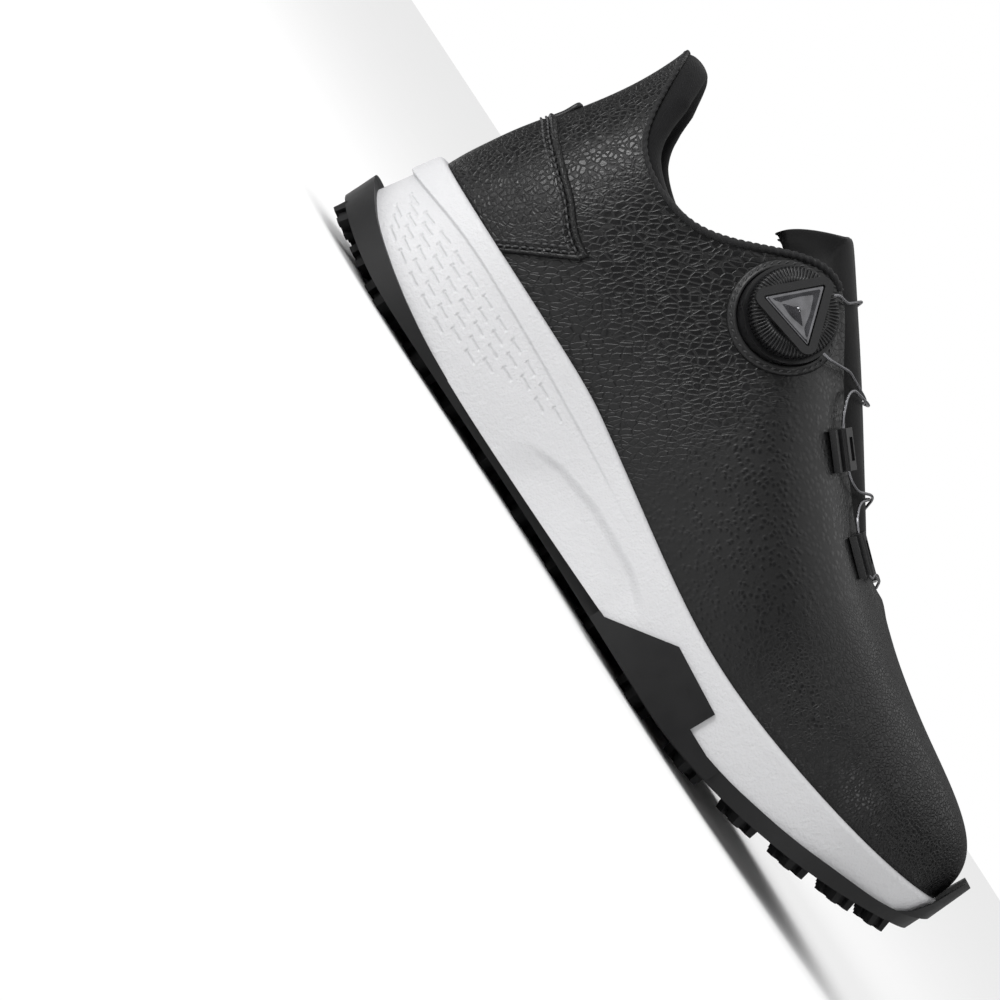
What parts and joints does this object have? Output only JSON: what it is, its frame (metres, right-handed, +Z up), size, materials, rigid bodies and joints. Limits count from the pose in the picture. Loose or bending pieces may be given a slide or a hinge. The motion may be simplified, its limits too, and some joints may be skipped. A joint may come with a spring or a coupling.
{
  "type": "golf shoe",
  "caption": "Right-foot spikeless golf shoe with a pebble-grain upper, foam midsole, lugged rubber outsole and a rotary dial that winds a steel lace.",
  "frame": {"origin": "under the middle of the shoe's box, at the level of the lowest lugs", "axes": "+X to the toe, +Y to the medial side, -Y to the lateral side with the dial, +Z up"},
  "size_m": [0.3066, 0.1181, 0.143],
  "materials": {
    "rubber_black": "matte",
    "foam_white": "matte",
    "leather_black": "satin",
    "lining_black": "matte",
    "footbed_black": "matte",
    "board_grey": "matte",
    "padding_grey": "matte",
    "plastic_black": "satin",
    "plastic_gloss": "gloss",
    "grip_black": "satin",
    "steel": "polished"
  },
  "bodies": {
    "root": {"outsole": "rubber_black", "midsole": "foam_white", "strobel_board": "board_grey", "sockliner": "footbed_black", "upper_shell": "leather_black", "heel_overlay": "leather_black", "heel_counter": "padding_grey", "toe_puff": "padding_grey", "quarter_foam": "padding_grey", "collar_foam": "padding_grey", "lining": "lining_black", "collar_binding": "leather_black", "tongue_shell": "leather_black", "tongue_foam": "padding_grey", "tongue_lining": "lining_black", "lateral_guide_1": "plastic_black", "lateral_guide_2": "plastic_black", "medial_guide_1": "plastic_black", "medial_guide_2": "plastic_black", "medial_guide_3": "plastic_black", "lace": "steel", "dial_flange": "plastic_black", "dial_housing": "plastic_black", "dial_screw": "steel"},
    "carriage": {"detent_bushing": "plastic_black"},
    "knob": {"knob_core": "plastic_black", "knob_grip": "grip_black", "cap_frame": "plastic_black", "cap_inlay": "plastic_gloss", "pawl_disc": "plastic_black"},
    "spool": {"spool": "plastic_black", "lace_winding": "steel"}
  },
  "joints": [
    {"name": "dial_release", "type": "slide", "parent": "root", "child": "carriage", "axis": [0.0502, -0.9231, 0.3813], "range_m": [0, 0.002]},
    {"name": "knob_turn", "type": "hinge", "parent": "carriage", "child": "knob", "pos_m": [-0.037, -0.0306, 0.11], "axis": [0.0502, -0.9231, 0.3813], "continuous": true},
    {"name": "spool_turn", "type": "hinge", "parent": "root", "child": "spool", "pos_m": [-0.037, -0.0306, 0.11], "axis": [0.0502, -0.9231, 0.3813], "continuous": true}
  ],
  "couplings": [
    {"joint": "spool_turn", "follows": "knob_turn", "ratio": 1}
  ]
}
